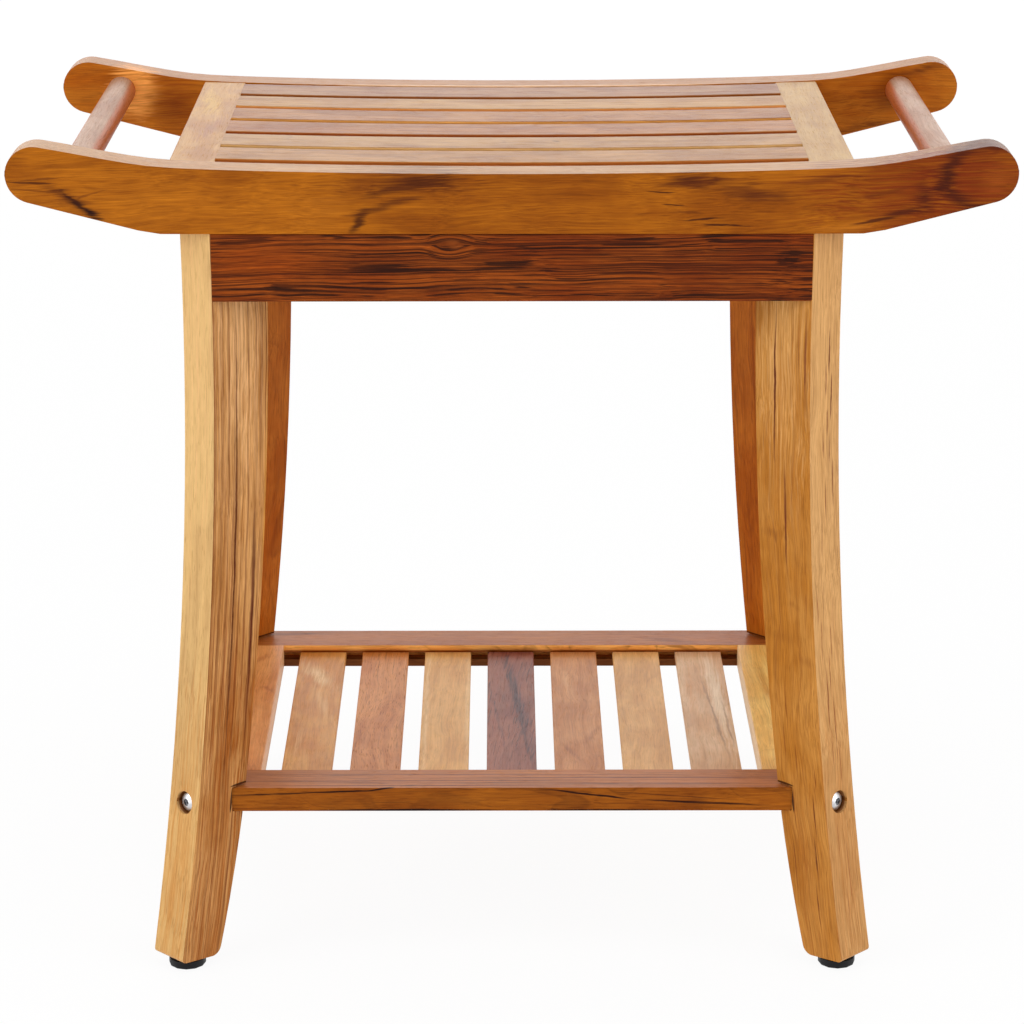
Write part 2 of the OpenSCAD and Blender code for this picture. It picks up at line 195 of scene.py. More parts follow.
plainTeak = {
    # what a board's own look can change
    "sheen": 0.1,     # a satin oil finish: hardly any gloss face on, a pale sheen at a low angle
    "slant": (0, 0, 0),     # of the grain against the piece, degrees
    "sway": 12,     # waves of the grain, mm
    "knots": [],     # centre, reach, grip
    "ringWidth": 4.5,     # mm
    "ringDrift": (0.45, 2.2),     # how soon the width changes, in rings, and how much
    "ringShape": softRings,
    "ringFade": (0.36, 0.6),
    "rings": 0.5,
    "veins": 0.5,
    "threads": 0.25,
    "threadKind": "thread",
    "threadCut": (0.6, 0.67),
    "streaks": 0.6,
    "fibres": 0.6,
    "mottle": 0.2,
    "pores": 0.22,
    "worn": 0.35,     # paler rounded edges: partly wear, partly a painted highlight
    "faces": [],     # way a face looks, strength, tone: painted light and shade for the faces that look that way
    "calm": 0.0,     # how much grain those faces lose under that painted light and shade
    "rag": 16,     # how far the rims of the marks are drawn out, mm
    "marks": [],     # centre, reach, turn, softness, strength, tone
    "loops": [],     # centre, reach, turn, thickness, strength, tone
    "shadows": [],     # centre, reach, turn, tone
}


def woodNoise(place, kind, output=0):
    lengthwise, across, detail, rough = woodNoises[kind]
    return place.stretched(lengthwise, across, across).noise(detail, rough, output)


def teak(name, look):
    # look: tones (pale, mid and dark), way of the grain, where the board lay in its log (mm from the
    # heart), and what it changes in plainTeak
    look = {**plainTeak, **look}
    material, surface, place = newMaterial(name, {"Specular IOR Level": look["sheen"]})
    normal = Wire(place.socket.node.outputs["Normal"])

    def paint(shade):
        made = place.node("ShaderNodeRGB")
        made.socket.default_value = tone(*shade)
        return made

    if "bow" in look:      # the grain of a sabre leg follows its curve
        height = place.node("ShaderNodeSeparateXYZ", None, {0: place}, 2)
        drop = leg["bowTop"] - height
        shift = drop.sum("MAXIMUM", drop) ** 2 * (0.5 / leg["bowRadius"])
        shift = place.node("ShaderNodeCombineXYZ", None, {i: shift * look["bow"][i] for i in (0, 1)})
        place = place.vectorSum("SUBTRACT", place, shift)
    turn = [math.radians(a + b) for a, b in zip(grainTurns[look["grain"]], look["slant"])]
    log = place.node("ShaderNodeMapping", None, {"Vector": place, "Scale": [1 / mm] * 3, "Rotation": turn,
                                                 "Location": look["cutAt"]})
    sway = look["sway"]
    swayed = log.vectorSum("MULTIPLY_ADD", woodNoise(log, "wave", 1), (0, sway, sway), log)
    for centre, reach, grip in look["knots"]:
        near = spot(place, centre, reach).between(0.0, 0.9)
        heartOf = Euler(turn).to_matrix() @ Vector(centre) + Vector(look["cutAt"])
        heartOf = heartOf + Vector((0, 1, 1)) * sway / 2
        swayed = swayed.node("ShaderNodeMix", {"data_type": "VECTOR"},
                             {0: near * grip, 4: swayed, 5: heartOf}, 1)

    # growth rings round the heart of the log, and everything else drawn out along the grain
    fromHeart = swayed.stretched(0, 1, 1)
    fromHeart = fromHeart.vectorSum("LENGTH", fromHeart, output=1)
    pace, stray = look["ringDrift"]
    drift = fromHeart.node("ShaderNodeTexNoise", {"noise_dimensions": "1D"},
                           {"W": fromHeart * (pace / look["ringWidth"]), "Detail": 2.0})
    count = fromHeart / look["ringWidth"] + drift * stray
    inRing = count.sum("FRACT", count)
    ring = inRing.node("ShaderNodeValToRGB", {"stops": look["ringShape"]}, {0: inRing})
    ring = ring * woodNoise(swayed, "ringShow").between(*look["ringFade"])
    fine = woodNoise(swayed, "fine")
    streak = woodNoise(swayed, "streak")
    thread = woodNoise(swayed, look["threadKind"])
    band = woodNoise(swayed, "band")
    cloud = woodNoise(swayed, "cloud")
    pore = woodNoise(swayed, "pore").between(*woodCuts["pore"])
    mottle = woodNoise(log, "mottle")
    vein = streak.between(*woodCuts["vein"]) * band.between(*woodCuts["veinBand"])
    feather = (streak - 0.5) * 1.2 + (thread - 0.5) * 1.2

    pale, mid, dark = [paint(shade) for shade in look["tones"]]
    colour = mid.blend(pale, (cloud * 0.6 + band * 0.4).between(*woodCuts["pale"]))
    grained = 1.0
    # painted light and shade: faces that look one way take a tone of their own and lose some grain
    for way, strength, shade in look["faces"]:
        facing = normal.vectorSum("DOT_PRODUCT", normal, way, output=1)
        facing = (facing + feather * 0.1).between(*woodCuts["facing"])
        colour = colour.blend(paint(shade), facing * (0.7 + band * 0.6) * strength)
        grained = grained - facing * look["calm"]
    threaded = thread.between(*look["threadCut"])
    for part, strength in ((ring, "rings"), (vein, "veins"), (threaded, "threads")):
        colour = colour.blend(dark, part * look[strength] * grained)

    # the marks of this one board, with ragged rims drawn out along the grain
    if look["marks"] or look["loops"]:
        rag = woodNoise(log, "rag", 1)
        rag = rag.vectorSum("SUBTRACT", rag, (0.5, 0.5, 0.5))
        pull = [look["rag"] * mm * (1 if look["grain"] == axis else 0.25) for axis in "xyz"]
        ragged = rag.vectorSum("MULTIPLY_ADD", rag, pull, place)
    for centre, reach, angle, soft, strength, shade in look["marks"]:
        mark = spot(ragged, centre, reach, angle) + feather * (0.2 + 0.9 * soft)
        colour = colour.blend(paint(shade), mark.between(0.0, 0.35 + 0.75 * soft) * strength)
    for centre, reach, angle, thick, strength, shade in look["loops"]:
        rim = spot(ragged, centre, reach, angle)
        rim = 1 - rim.sum("ABSOLUTE", rim) / thick
        colour = colour.blend(paint(shade), (rim + feather * 0.9).between(0.0, 1.1) * strength)
    for centre, reach, angle, shade in look["shadows"]:
        colour = colour.blend(paint(shade), spot(place, centre, reach, angle).between(0.0, 0.2) * 0.92)

    # paler rounded edges: wear, with a painted highlight along them
    rounded = place.node("ShaderNodeAttribute", {"attribute_name": "rim"}, None, 2)
    worn = rounded * mottle.between(*woodCuts["worn"])
    colour = colour.blend(pale, worn * look["worn"])
    light = (streak - 0.5) * look["streaks"] + (fine - 0.5) * look["fibres"]
    light = 1 + light * grained + (mottle - 0.5) * look["mottle"] - pore * look["pores"]
    # dark grain is richer too: its green and blue fall faster than its red
    rich = light.node("ShaderNodeCombineXYZ", None, {0: light, 1: light ** 1.2, 2: light ** 1.6})
    plug(colour.vectorSum("MULTIPLY", colour, rich), surface.inputs["Base Color"])
    plug(0.34 + mottle * 0.14 + pore * 0.15 - worn * 0.08, surface.inputs["Roughness"])
    plug((fine * 0.5 - pore * 0.8 - ring * 0.2 + streak * 0.3).bump(0.3, 0.2), surface.inputs["Normal"])
    return material


metalFinish = {
    "scratches": (1800, 1800, 260),        # waves in a metre, drawn out upwards
    "dullness": (240, 240, 240),
    "scratchRough": 0.12,
    "dullRough": 0.08,
    # tone of the painted shade in the screw heads' sockets
    "grime": (28, 24, 22),
}


def metal(name, look):
    material, surface, place = newMaterial(name, {"Metallic": 1.0})
    scratch = place.stretched(*metalFinish["scratches"]).noise(3, 0.6)
    dull = place.stretched(*metalFinish["dullness"]).noise(3, 0.6)
    bright = place.node("ShaderNodeMix", {"data_type": "RGBA"},
                        {0: dull, 6: tone(*look["dark"]), 7: tone(*look["pale"])}, 2)
    # painted shade in the hex sockets of the screw heads
    for centre, radius in look.get("sockets", []):
        grime = spot(place, centre, (radius,) * 3).between(0.0, 0.3)
        bright = bright.blend(tone(*metalFinish["grime"]), grime * look["grime"])
    plug(bright, surface.inputs["Base Color"])
    plug(look["rough"] + scratch * metalFinish["scratchRough"] + dull * metalFinish["dullRough"],
         surface.inputs["Roughness"])
    plug(scratch.bump(0.2, 0.1), surface.inputs["Normal"])
    return material


plasticFinish = {
    "sheen": 0.25,
    "grain": (1400, 1400, 1400),           # waves in a metre
    "scuffs": (120, 120, 300),
    "scuffCut": (0.45, 0.75),
    "rough": (0.38, 0.2),                  # where clean, and how much more where scuffed
}


def plastic(name, look):
    material, surface, place = newMaterial(name, {"Specular IOR Level": plasticFinish["sheen"]})
    grain = place.stretched(*plasticFinish["grain"]).noise(2, 0.5)
    scuff = place.stretched(*plasticFinish["scuffs"]).noise(4, 0.6)
    plug(place.node("ShaderNodeMix", {"data_type": "RGBA"}, {
        0: scuff.between(*plasticFinish["scuffCut"]), 6: tone(*look["dark"]), 7: tone(*look["pale"])}, 2),
        surface.inputs["Base Color"])
    clean, scuffed = plasticFinish["rough"]
    plug(clean + scuff * scuffed, surface.inputs["Roughness"])
    plug(grain.bump(0.3, 0.1), surface.inputs["Normal"])
    return material


def boxMesh(low, high, cuts=0):
    # a box between two corners, cut across its X direction
    bm = bmesh.new()
    bmesh.ops.create_cube(bm, size=1)
    if cuts:
        lengthwise = [e for e in bm.edges if abs(e.verts[0].co.x - e.verts[1].co.x) > 0.5]
        bmesh.ops.subdivide_edges(bm, edges=lengthwise, cuts=cuts, use_grid_fill=True)
    size = Vector(high) - Vector(low)
    bmesh.ops.scale(bm, vec=size, verts=bm.verts)
    bmesh.ops.translate(bm, vec=(Vector(low) + Vector(high)) / 2, verts=bm.verts)
    return bm


def cadMesh(node):
    # a merged copy of a CAD node's mesh, with its flat faces whole
    bm = bmesh.new()
    bm.from_mesh(nodes[node].data)
    bmesh.ops.remove_doubles(bm, verts=bm.verts, dist=welds["cad"] * mm)
    bmesh.ops.dissolve_limit(bm, angle_limit=math.radians(0.2), verts=bm.verts, edges=bm.edges)
    bmesh.ops.recalc_face_normals(bm, faces=bm.faces)
    return bm


def soften(bm, width, segments=3, pick=None):
    # rounds the sharp edges that are picked, width in mm, and marks the round faces for the paler edges of
    # wear and painted highlight
    sharp = [e for e in bm.edges if len(e.link_faces) == 2 and e.calc_face_angle() > sharpTurn
             and (not pick or pick(e))]
    rounded = bmesh.ops.bevel(bm, geom=sharp, offset=width * mm, offset_type="OFFSET", segments=segments,
                              profile=0.5, affect="EDGES", material=-1, clamp_overlap=True)
    rim = bm.faces.layers.float.get("rim") or bm.faces.layers.float.new("rim")
    for face in rounded["faces"]:
        if face.is_valid:
            face[rim] = 1.0


def middle(edge):
    return (edge.verts[0].co + edge.verts[1].co) / 2


def span(edge, axis):
    # how far an edge reaches along x, y or z
    return abs(getattr(edge.verts[0].co, axis) - getattr(edge.verts[1].co, axis))


def shown(name, data):
    made = bpy.data.objects.new(name, data)
    bpy.context.scene.collection.objects.link(made)
    return made


def finishPiece(name, node, bm, material, body):
    bmesh.ops.remove_doubles(bm, verts=bm.verts, dist=welds["piece"] * mm)
    bmesh.ops.recalc_face_normals(bm, faces=bm.faces)
    mesh = bpy.data.meshes.new(name)
    bm.to_mesh(mesh)
    bm.free()
    mesh.shade_smooth()
    mesh.set_sharp_from_angle(angle=math.radians(32))
    piece = shown(name, mesh)
    mesh.materials.append(material)
    even = piece.modifiers.new("evenShading", "WEIGHTED_NORMAL")
    even.keep_sharp = True
    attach(piece, body)
    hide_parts(node)


def woodPiece(node, bm, look, name=None):
    name = name or camel(node)
    finishPiece(name, node, bm, teak(name + "Teak", look), "bench")


def dress(node, material):
    slots = nodes[node].data.materials
    for i in range(len(slots)):
        slots[i] = material


seat = {
    "top": 489.3,          # height of the middle of the seat
    "dip": 3.3,            # rise of the seat's top at the end battens
    "proud": 0.7,          # how far the slats stand above the rails
    "halfSpan": 198.3,     # from the middle to the outside of an end batten
    "topHalf": 480,        # points above this height lie on the dished top
    "railEdge": 1.4,
    "battenEdge": 1.3,
    "slatEdge": 1.0,
    "seamEdge": 0.3,
}


def dishHeight(x):
    return seat["top"] + seat["dip"] * (x / seat["halfSpan"]) ** 2


rail = {
    "endRadius": 16.5,
    "endHeight": 34.4,     # the round end's centre above the rail's underside
    "topSlope": 11,
    "underSlope": 14.5,
    "bend": 2.6,           # softness of the upper bends, mm
    "underBend": 0.5,      # and of the lower ones
    "columns": 64,
    "endColumns": 10,      # columns round each end, of those
    "tipShare": 0.95,      # how far round the end the last column stands
}


def softMax(a, b, soft):
    return (a + b + math.sqrt((a - b) ** 2 + soft ** 2)) / 2


def railOutline(share, length, under):
    # top and bottom points (x, z) in mm, with share from 0 in the middle to 1 at the tip
    r = rail["endRadius"]
    centre = (length / 2 - r, under + rail["endHeight"])
    topTurn, lowTurn = 90 + rail["topSlope"], rail["underSlope"] - 90
    tip = (topTurn + lowTurn) / 2
    roundFrom = 1 - 2 * rail["endColumns"] / rail["columns"]
    turned = max(0.0, (share - roundFrom) / (1 - roundFrom)) * rail["tipShare"]
    topAngle = math.radians(topTurn + (tip - topTurn) * turned)
    lowAngle = math.radians(lowTurn + (tip - lowTurn) * turned)
    top = [centre[0] + r * math.cos(topAngle), centre[1] + r * math.sin(topAngle)]
    low = [centre[0] + r * math.cos(lowAngle), centre[1] + r * math.sin(lowAngle)]
    if share < roundFrom:
        part = share / roundFrom
        topLine = top[1] - top[0] * (1 - part) * math.tan(math.radians(rail["topSlope"]))
        lowLine = low[1] - low[0] * (1 - part) * math.tan(math.radians(rail["underSlope"]))
        top = [top[0] * part, softMax(dishHeight(top[0] * part), topLine, rail["bend"])]
        low = [low[0] * part, softMax(under, lowLine, rail["underBend"])]
    return top, low


def railPiece(node, look):
    low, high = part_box(node)
    bm = boxMesh((-1, low.y, 0), (1, high.y, 1), rail["columns"] - 1)
    for v in bm.verts:
        top, under = railOutline(abs(v.co.x), (high.x - low.x) / mm, low.z / mm)
        x, z = top if v.co.z > 0.5 else under
        v.co.x, v.co.z = math.copysign(x * mm, v.co.x), z * mm
    soften(bm, seat["railEdge"], 4)
    woodPiece(node, bm, look)


def dish(bm, lift=0.0):
    for v in bm.verts:
        if v.co.z > seat["topHalf"] * mm:
            v.co.z = (dishHeight(v.co.x / mm) + lift) * mm


def battenPiece(node, look):
    low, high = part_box(node)
    bm = boxMesh(low, high, 3)
    dish(bm)
    outer = max(abs(low.x), abs(high.x))
    soften(bm, seat["battenEdge"], 3, lambda e: abs(abs(middle(e).x) - outer) < touch
           and span(e, "x") < touch and span(e, "z") < touch)
    soften(bm, seat["seamEdge"], 1)
    woodPiece(node, bm, look)


def seatSlatPiece(node, look):
    low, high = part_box(node)
    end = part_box("right_end_batten")[0].x
    bm = boxMesh((-end, low.y, low.z), (end, high.y, high.z), 15)
    dish(bm, seat["proud"])
    soften(bm, seat["slatEdge"], 3, lambda e: span(e, "y") < touch
           and abs(abs(middle(e).x) - end) > touch)
    woodPiece(node, bm, look)


bar = {"sides": 64, "intoRail": 2}


def barPiece(node, look):
    low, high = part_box(node)
    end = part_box("back_rail")[0].y + bar["intoRail"] * mm
    bm = bmesh.new()
    radius = (high.x - low.x) / 2
    bmesh.ops.create_cone(bm, cap_ends=True, segments=bar["sides"], radius1=radius, radius2=radius,
                          depth=2 * end)
    bmesh.ops.rotate(bm, cent=(0, 0, 0), matrix=Matrix.Rotation(math.radians(90), 3, "X"), verts=bm.verts)
    bmesh.ops.translate(bm, vec=((low.x + high.x) / 2, 0, (low.z + high.z) / 2), verts=bm.verts)
    woodPiece(node, bm, look)


apron = {"edge": 0.8, "shortest": 60}      # only level edges longer than this are rounded


def apronPiece(node, look):
    bm = cadMesh(node)
    soften(bm, apron["edge"], 2, lambda e: span(e, "z") < 0.1 * touch
           and e.calc_length() > apron["shortest"] * mm)
    woodPiece(node, bm, look)


leg = {
    "top": (182.866, 140.166),     # middle of the outer face, above the bow
    "bowTop": 0.4,         # height where the outward curve begins, m
    "bowRadius": 2.087,    # m
    "edge": 1.4,           # rounding of the long edges
    "edgeTop": 452,        # which ends at this height
    "footInner": 5.5,      # rounding of the bottom's inner end
    "footOuter": 3.0,      # rounding of its outer end
    "footStrip": 1.5,      # flat part left between each rounding and the rest of the bottom
    "footTop": 12,         # the bottom lies under this height
    "footHole": 8,         # and what is closer to the foot's middle belongs to its hole
    "crossLeast": 20,      # edges across the board longer than this bound it
    "underNotch": 2.6,     # rounding of the corner just under the notch
    "notch": (94.9, 110.8),        # heights of its floor and its top
    "notchInside": 240,    # the notch lies closer to the bench's middle than this
    "markDepth": 30,       # reach of the marks through the board
    "dashDepth": 40,       # and of the outer face's dashes, inwards
    "dashSoftness": 0.2,
    "shadows": [
        # inward from the outer face, height, reach, tone: the screw's bore, then the shelf's gaps
        (6.2, 104.8, (7, 12, 12), (104, 58, 24)),
        (26.0, 102.8, (1.0, 30, 10), (50, 22, 8)),
        (31.5, 111.6, (9, 30, 0.9), (60, 26, 10)),
    ],
}


def legPiece(corner, look):
    sideX, sideY = corners[corner]
    outward = Vector((sideX, sideY, 0)).normalized()
    across = Vector((sideX, -sideY, 0)).normalized()
    low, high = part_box("foot_pad_" + corner)
    foot = (low + high).xy / 2
    bm = cadMesh("leg_" + corner)

    def isBottom(face):
        return face.normal.z < -level and face.calc_center_median().z < leg["footTop"] * mm

    def bottomEdge(e):
        return any(isBottom(f) for f in e.link_faces) and (middle(e).xy - foot).length > leg["footHole"] * mm

    def crossEdge(e):
        way = e.verts[0].co - e.verts[1].co
        return abs(way.normalized().dot(across)) > 0.99 and way.length > leg["crossLeast"] * mm

    def notchCorner(e):
        onFloor = any(f.normal.z > level for f in e.link_faces)
        return onFloor and crossEdge(e) and abs(middle(e).z - leg["notch"][0] * mm) < 0.5 * touch

    def longEdge(e):
        broad = [f for f in e.link_faces if abs(f.normal.dot(across)) > 0.99]
        return len(broad) == 1 and middle(e).z < leg["edgeTop"] * mm

    def inNotch(e):
        low, high = leg["notch"]
        fromMiddle = [v.co.xy.length for v in e.verts]
        return (low - 1) * mm < middle(e).z < (high + 1) * mm \
            and middle(e).xy.length < leg["notchInside"] * mm \
            and max(fromMiddle) - min(fromMiddle) > 2 * touch

    # each end of the bottom gets a strip of its own, so that its rounding isn't cut short by the hole's seams
    for end, radius in ((-1, leg["footInner"]), (1, leg["footOuter"])):
        bottom = [f for f in bm.faces if isBottom(f)]
        reach = max(end * v.co.dot(outward) for f in bottom for v in f.verts)
        cut = outward * end * (reach - (radius + leg["footStrip"]) * mm)
        parts = {part for f in bottom for part in [f, *f.edges, *f.verts]}
        bmesh.ops.bisect_plane(bm, geom=list(parts), plane_co=cut, plane_no=outward, dist=0.001 * mm)

        def pastCut(point):
            return end * (point - cut).dot(outward)

        seams = [e for e in bm.edges if len(e.link_faces) == 2 and e.calc_face_angle() < 0.01
                 and all(isBottom(f) for f in e.link_faces)
                 and all(pastCut(v.co) > -0.1 * touch for v in e.verts)
                 and any(pastCut(v.co) > touch for v in e.verts)]
        bmesh.ops.dissolve_edges(bm, edges=seams)
        soften(bm, radius, 6, lambda e: bottomEdge(e) and crossEdge(e) and pastCut(middle(e)) > 5 * touch)
    soften(bm, leg["underNotch"], 4, notchCorner)
    soften(bm, leg["edge"], 3, lambda e: longEdge(e) and not inNotch(e))
    woodPiece("leg_" + corner, bm, look, camel(corner) + "Leg")


shelf = {
    "railEdge": 0.8,
    "lipEdge": 0.3,
    "battenEdge": 0.8,
    "slatEdge": 0.7,
    "railLeast": 100,      # edges of the rails shorter than this stay sharp
    "boardLeast": 50,      # and those of the battens and slats
}


def shelfRailPiece(node, look):
    bm = cadMesh(node)
    low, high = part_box(node)
    inTheMiddle = abs(low.y + high.y) / 2

    def longEdge(e):
        return span(e, "y") < 0.1 * touch and e.calc_length() > shelf["railLeast"] * mm \
            and min(abs(middle(e).z - low.z), abs(middle(e).z - high.z)) < 0.1 * touch

    soften(bm, shelf["railEdge"], 3, lambda e: longEdge(e) and abs(middle(e).y) > inTheMiddle)
    soften(bm, shelf["lipEdge"], 2, lambda e: longEdge(e) and abs(middle(e).y) <= inTheMiddle)
    woodPiece(node, bm, look)


def shelfBoardPiece(node, look, edge, end=None):
    # a slat, or a batten that ends at the back rail without the tongues of the CAD node
    low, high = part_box(node)
    end = end or high.y
    bm = boxMesh((low.x, -end, low.z), (high.x, end, high.z))
    soften(bm, edge, 3, lambda e: span(e, "y") > shelf["boardLeast"] * mm)
    woodPiece(node, bm, look)


foot = {
    "facets": 12,
    "facetEdge": 1.2,
    "soleEdge": 1.0,
    "topEdge": 0.4,
    "pitch": 1.25,
    "root": 3.35,
    "crest": 4.0,
    "tooth": [("root", 0), ("crest", 0.4), ("crest", 0.55), ("root", 0.95), ("root", 1)],
    "steps": 32,
}


def padPiece(corner):
    node = "foot_pad_" + corner
    low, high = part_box(node)
    bm = bmesh.new()
    radius = (high.x - low.x) / 2
    bmesh.ops.create_cone(bm, cap_ends=True, segments=foot["facets"], radius1=radius, radius2=radius,
                          depth=high.z - low.z)
    bmesh.ops.translate(bm, vec=(low + high) / 2, verts=bm.verts)
    soften(bm, foot["facetEdge"], 3, lambda e: span(e, "z") > 1 * mm)
    soften(bm, foot["soleEdge"], 3, lambda e: middle(e).z < low.z + 0.5 * mm)
    soften(bm, foot["topEdge"], 2, lambda e: middle(e).z > high.z - 0.2 * mm)
    finishPiece(camel(corner) + "FootPad", node, bm, blackPlastic, "foot_" + corner)


def studPiece(corner):
    # a thread: one tooth's outline, turned and lifted
    node = "foot_stud_" + corner
    low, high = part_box(node)
    turns = int((high.z - low.z) / mm / foot["pitch"]) - 1
    bm = bmesh.new()
    tooth = [bm.verts.new((foot[radius] * mm, 0, z * foot["pitch"] * mm)) for radius, z in foot["tooth"]]
    edges = [bm.edges.new(pair) for pair in zip(tooth, tooth[1:])]
    bmesh.ops.spin(bm, geom=tooth + edges, cent=(0, 0, 0), axis=(0, 0, 1), angle=2 * math.pi * turns,
                   steps=foot["steps"] * turns, dvec=(0, 0, foot["pitch"] * mm / foot["steps"]))
    bmesh.ops.remove_doubles(bm, verts=bm.verts, dist=welds["thread"] * mm)
    bmesh.ops.holes_fill(bm, edges=[e for e in bm.edges if e.is_boundary], sides=0)
    axis = (low + high) / 2
    bmesh.ops.translate(bm, vec=(axis.x, axis.y, low.z), verts=bm.verts)
    finishPiece(camel(corner) + "FootStud", node, bm, steel, "stud_" + corner)


def onFront(y, depth, marks):
    # marks on a face that looks forward, written as x, z, reach in x and z, turn, softness, strength, tone
    return [((x, y, z), (wide, depth, high), (0, turn, 0), *rest) for x, z, wide, high, turn, *rest in marks]


def onTop(z, depth, marks):
    # marks on a face that looks up, written as x, y, reach in x and y, turn, softness, strength, tone
    return [((x, y, z), (wide, long, depth), (0, 0, turn), *rest) for x, y, wide, long, turn, *rest in marks]


print("materials")
steel = metal("brushedSteel", {"dark": (170, 170, 172), "pale": (222, 222, 224), "rough": 0.24})
socket = {"x": 196.25, "y": 153.55, "height": 104.6, "radius": 2.45}      # in the shelf screws' heads
# the shelf screws, with painted shade in their sockets
screwSteel = metal("screwSteel", {
    "dark": (188, 188, 190), "pale": (228, 228, 232), "rough": 0.3, "grime": 0.9,
    "sockets": [((x * socket["x"], y * socket["y"], socket["height"]), socket["radius"])
                for x, y in corners.values()]})
brass = metal("brass", {"dark": (150, 116, 52), "pale": (196, 160, 84), "rough": 0.3})
blackPlastic = plastic("blackPlastic", {"dark": (6, 6, 8), "pale": (18, 18, 22)})

print("rails")
railPiece("front_rail", {
    "tones": [(172, 97, 13), (142, 73, 5), (84, 36, 6)], "grain": "x", "cutAt": (0, 20, -90),
    "slant": (0, 1.0, 2), "rings": 0.1, "veins": 0.15, "threads": 0.2, "streaks": 0.5, "fibres": 1.0,
    # the top takes a paler tone: painted sheen
    "pores": 0.1, "rag": 9, "faces": [(up, 0.8, (190, 148, 104))],
    "marks": onFront(-151, 40, [
        (-200, 474, 120, 44, 0, 1.0, 0.35, (184, 108, 22)),
        (-112, 468, 26, 16, 0, 1.0, 0.4, (178, 104, 24)),
        (20, 466, 90, 26, 0, 1.0, 0.45, (138, 70, 4)),
        (165, 470, 70, 26, 0, 1.0, 0.4, (134, 66, 4)),
        (256, 484, 112, 90, -16, 1.0, 1.0, (118, 42, 6)),
        (-60, 484, 66, 12, -2, 1.0, 0.9, (98, 42, 6)),
        (-53, 484.5, 32, 7, -4, 0.9, 0.85, (74, 30, 4)),
        (-72, 479, 20, 3.4, -12, 0.8, 0.6, (82, 36, 6)),
        (-88.5, 461, 4.5, 13, 32, 0.6, 0.85, (62, 24, 4)),
        (-72, 471, 32, 3, -17, 0.8, 0.7, (84, 36, 6)),
        (-276, 484.3, 18, 0.8, 2, 0.2, 0.8, (66, 26, 8)),
        (-270, 486.4, 16, 0.7, -6, 0.3, 0.6, (86, 38, 8)),
        (-276, 480, 12, 1.0, 4, 0.4, 0.5, (92, 40, 10)),
        (-250, 471, 30, 9, 30, 1.0, 0.6, (118, 58, 10)),
        (-257, 477.5, 20, 4.2, 24, 1.0, 0.8, (80, 32, 8)),
        (-244.5, 468.3, 17, 3.6, 33, 0.8, 1.0, (36, 12, 6)),
        (-250, 473, 15, 1.6, 40, 0.6, 0.8, (50, 18, 6)),
        (-243, 477, 12, 1.0, -20, 0.4, 0.5, (90, 38, 10)),
        (106, 484.5, 38, 8, 0, 1.0, 0.95, (88, 36, 6)),
        (96, 486, 16, 3.4, 2, 0.9, 0.6, (74, 28, 6)),
        (139, 477, 30, 8, 8, 1.0, 0.9, (92, 40, 8)),
        (87.5, 478.6, 13, 0.6, 2, 0.3, 0.9, (60, 24, 6)),
        (91.5, 471.2, 11, 0.5, 3, 0.3, 0.8, (66, 26, 6)),
        (101, 467, 13, 0.8, 2, 0.3, 0.5, (80, 32, 6)),
        (109.5, 462.8, 15, 0.6, -3, 0.3, 0.9, (60, 24, 6)),
        (121.8, 459.4, 18, 0.7, 3, 0.3, 0.9, (58, 22, 6)),
        (190, 458, 30, 5, -6, 0.9, 0.7, (184, 108, 24)),
        (210, 462.3, 22, 1.6, -10, 0.4, 0.85, (66, 24, 6)),
        (224, 467, 20, 2.6, -13, 0.8, 0.8, (72, 26, 8)),
        (184, 487, 34, 2.6, -8, 1.0, 0.6, (92, 36, 10)),
        (212, 478, 30, 2.2, -12, 1.0, 0.5, (86, 34, 8)),
        (237, 475.4, 10, 15, 10, 1.0, 0.75, (70, 24, 8)),
        (249, 486, 7, 18, 18, 1.0, 0.75, (58, 18, 6)),
        (278, 486, 14, 10, 0, 1.0, 0.6, (156, 76, 20)),
        (259, 466, 18, 5, -10, 1.0, 0.5, (80, 30, 8)),
    ]),
    "loops": onFront(-151, 40, [
        (275, 487.5, 27, 19, 0, 0.34, 0.8, (66, 22, 8)),
    ])})
railPiece("back_rail", {
    "tones": [(186, 108, 24), (164, 84, 8), (96, 42, 6)], "grain": "x", "cutAt": (400, 90, 22),
    "slant": (0, -1, -2), "rings": 0.3, "veins": 0.3, "pores": 0.1,
    # the top takes a paler tone: painted sheen
    "faces": [(up, 0.8, (174, 126, 82))],
    # the first mark: painted light along the top of the inner face
    "marks": onFront(128.5, 5, [
        (0, 489, 178, 5, 0, 0.3, 0.9, (226, 176, 130)),
    ]) + onFront(129, 30, [
        (-244, 487, 20, 26, 0, 0.6, 1.0, (252, 170, 84)),
        (-218, 478, 22, 22, 0, 1.0, 0.8, (132, 60, 8)),
        (243, 481, 18, 16, 0, 1.0, 0.6, (104, 44, 10)),
        (266, 500, 34, 6, -16, 1.0, 0.7, (92, 38, 8)),
        (225, 462, 44, 5, -14, 1.0, 0.7, (84, 34, 6)),
    ])})

